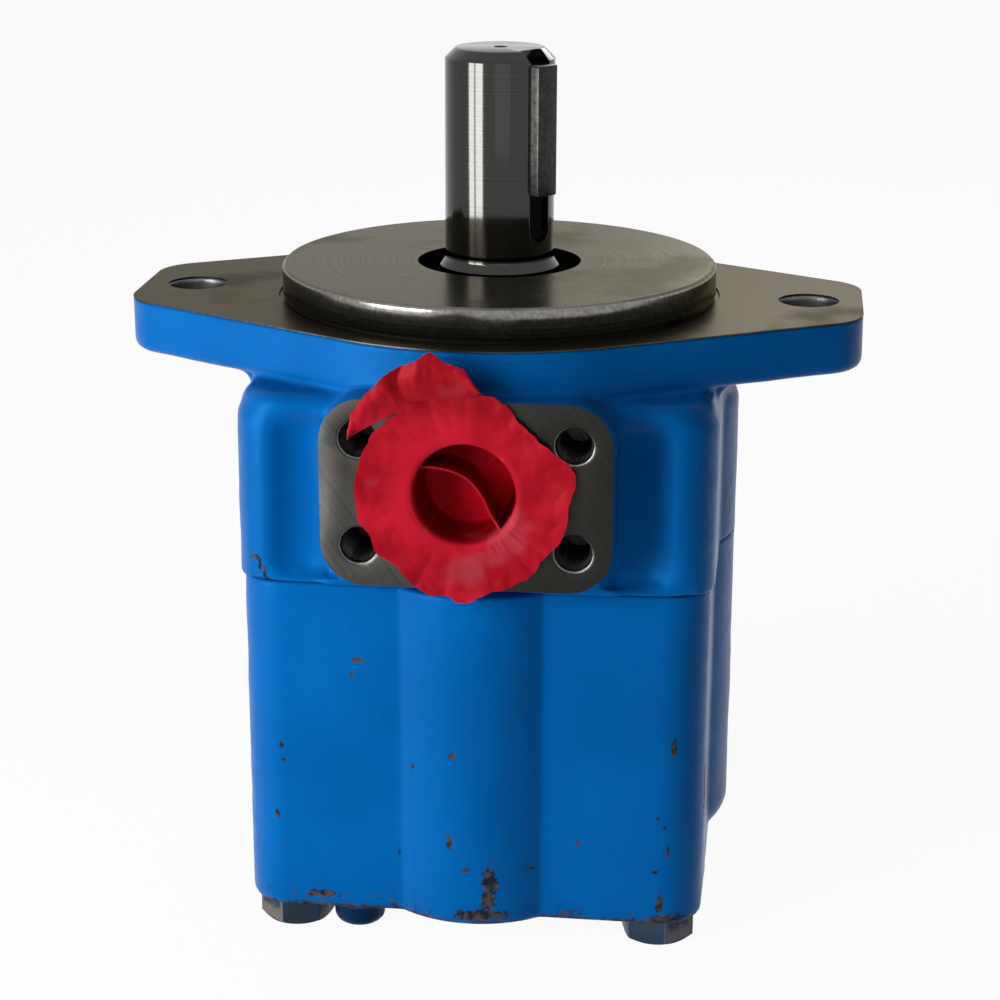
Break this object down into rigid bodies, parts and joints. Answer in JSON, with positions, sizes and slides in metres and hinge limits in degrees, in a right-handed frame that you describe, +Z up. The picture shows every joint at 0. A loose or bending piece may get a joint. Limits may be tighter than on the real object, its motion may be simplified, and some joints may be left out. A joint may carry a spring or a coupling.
{
  "type": "hydraulic vane pump",
  "caption": "Vane pump with a two-bolt pilot flange, keyed drive shaft, four-bolt outlet on the side of its front housing and a square rear cover held by hexagon screws.",
  "frame": {"origin": "on the mounting face of the flange, at the drive shaft's axis", "axes": "+Z up along the drive shaft, -Y towards the outlet port, +X to the right"},
  "size_m": [0.212, 0.1612, 0.2495],
  "materials": {
    "blue_paint": "satin",
    "screw_steel": "satin",
    "ground_steel": "polished",
    "key_steel": "satin",
    "hard_steel": "satin",
    "bearing_steel": "polished",
    "pressed_steel": "satin",
    "spring_steel": "satin",
    "plate_iron": "satin",
    "seal_rubber": "matte",
    "backup_plastic": "satin",
    "bush_bronze": "satin",
    "red_film": "satin"
  },
  "bodies": {
    "pump_body": {"front_housing": "blue_paint", "rear_cover": "blue_paint", "cover_screws": "screw_steel", "bearing_outer_ring": "bearing_steel", "bearing_retaining_ring": "spring_steel", "seal_case": "pressed_steel", "seal_lip": "seal_rubber", "seal_spring": "spring_steel", "outlet_support_plate": "plate_iron", "cam_ring": "hard_steel", "inlet_support_plate": "plate_iron", "dowel_pins": "ground_steel", "cartridge_screws": "screw_steel", "cover_oring": "seal_rubber", "plate_oring": "seal_rubber", "plate_backup_ring": "backup_plastic", "tail_bush": "bush_bronze", "port_film": "red_film"},
    "shaft": {"drive_shaft": "ground_steel", "shaft_key": "key_steel", "bearing_inner_ring": "bearing_steel", "shaft_retaining_ring": "spring_steel", "rotor": "hard_steel"},
    "ball_cage": {"bearing_balls": "bearing_steel", "bearing_cage": "pressed_steel"},
    "vane_body_01": {"vane_01": "hard_steel", "vane_insert_01": "hard_steel"},
    "vane_body_02": {"vane_02": "hard_steel", "vane_insert_02": "hard_steel"},
    "vane_body_03": {"vane_03": "hard_steel", "vane_insert_03": "hard_steel"},
    "vane_body_04": {"vane_04": "hard_steel", "vane_insert_04": "hard_steel"},
    "vane_body_05": {"vane_05": "hard_steel", "vane_insert_05": "hard_steel"},
    "vane_body_06": {"vane_06": "hard_steel", "vane_insert_06": "hard_steel"},
    "vane_body_07": {"vane_07": "hard_steel", "vane_insert_07": "hard_steel"},
    "vane_body_08": {"vane_08": "hard_steel", "vane_insert_08": "hard_steel"},
    "vane_body_09": {"vane_09": "hard_steel", "vane_insert_09": "hard_steel"},
    "vane_body_10": {"vane_10": "hard_steel", "vane_insert_10": "hard_steel"}
  },
  "joints": [
    {"name": "shaft_spin", "type": "hinge", "parent": "pump_body", "child": "shaft", "pos_m": [0, 0, 0], "axis": [0, 0, 1], "continuous": true},
    {"name": "cage_spin", "type": "hinge", "parent": "pump_body", "child": "ball_cage", "pos_m": [0, 0, 0], "axis": [0, 0, 1], "continuous": true},
    {"name": "vane_slide_01", "type": "slide", "parent": "shaft", "child": "vane_body_01", "axis": [1, 0, 0], "range_m": [0, 0.0045]},
    {"name": "vane_slide_02", "type": "slide", "parent": "shaft", "child": "vane_body_02", "axis": [0.809, 0.5878, 0], "range_m": [0, 0.0028]},
    {"name": "vane_slide_03", "type": "slide", "parent": "shaft", "child": "vane_body_03", "axis": [0.309, 0.9511, 0], "range_m": [0, 0.0004]},
    {"name": "vane_slide_04", "type": "slide", "parent": "shaft", "child": "vane_body_04", "axis": [-0.309, 0.9511, 0], "range_m": [0, 0.0004]},
    {"name": "vane_slide_05", "type": "slide", "parent": "shaft", "child": "vane_body_05", "axis": [-0.809, 0.5878, 0], "range_m": [0, 0.0028]},
    {"name": "vane_slide_06", "type": "slide", "parent": "shaft", "child": "vane_body_06", "axis": [-1, 0, 0], "range_m": [0, 0.0045]},
    {"name": "vane_slide_07", "type": "slide", "parent": "shaft", "child": "vane_body_07", "axis": [-0.809, -0.5878, 0], "range_m": [0, 0.0028]},
    {"name": "vane_slide_08", "type": "slide", "parent": "shaft", "child": "vane_body_08", "axis": [-0.309, -0.9511, 0], "range_m": [0, 0.0004]},
    {"name": "vane_slide_09", "type": "slide", "parent": "shaft", "child": "vane_body_09", "axis": [0.309, -0.9511, 0], "range_m": [0, 0.0004]},
    {"name": "vane_slide_10", "type": "slide", "parent": "shaft", "child": "vane_body_10", "axis": [0.809, -0.5878, 0], "range_m": [0, 0.0028]}
  ],
  "couplings": [
    {"joint": "cage_spin", "follows": "shaft_spin", "ratio": 0.3963}
  ]
}
